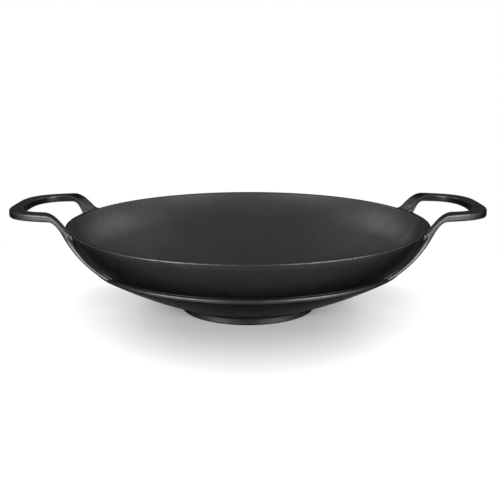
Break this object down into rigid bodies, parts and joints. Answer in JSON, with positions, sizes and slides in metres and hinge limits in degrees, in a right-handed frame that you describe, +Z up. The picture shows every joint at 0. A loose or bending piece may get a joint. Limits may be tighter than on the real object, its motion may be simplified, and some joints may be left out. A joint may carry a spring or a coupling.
{
  "type": "cast iron wok",
  "caption": "Round cast iron wok with a thick lower bowl, a flat ring foot, and loop handles that rise from the rim on legs cast into the wall.",
  "frame": {"origin": "on the table, under the middle of the foot", "axes": "+Z up out of the bowl, X through the two handles, Y from the front of the wok to its back"},
  "size_m": [0.465, 0.356, 0.106],
  "materials": {
    "seasoned_iron": "satin black seasoning"
  },
  "bodies": {
    "root": {"foot_ring": "seasoned_iron", "bowl_floor": "seasoned_iron", "front_lower_bowl": "seasoned_iron", "rear_lower_bowl": "seasoned_iron", "shoulder_band": "seasoned_iron", "front_wall": "seasoned_iron", "rear_wall": "seasoned_iron", "rim_lip": "seasoned_iron", "left_wall_panel": "seasoned_iron", "right_wall_panel": "seasoned_iron", "left_front_leg": "seasoned_iron", "left_rear_leg": "seasoned_iron", "right_front_leg": "seasoned_iron", "right_rear_leg": "seasoned_iron", "left_front_arm": "seasoned_iron", "left_rear_arm": "seasoned_iron", "right_front_arm": "seasoned_iron", "right_rear_arm": "seasoned_iron", "left_grip": "seasoned_iron", "right_grip": "seasoned_iron"}
  },
  "joints": []
}
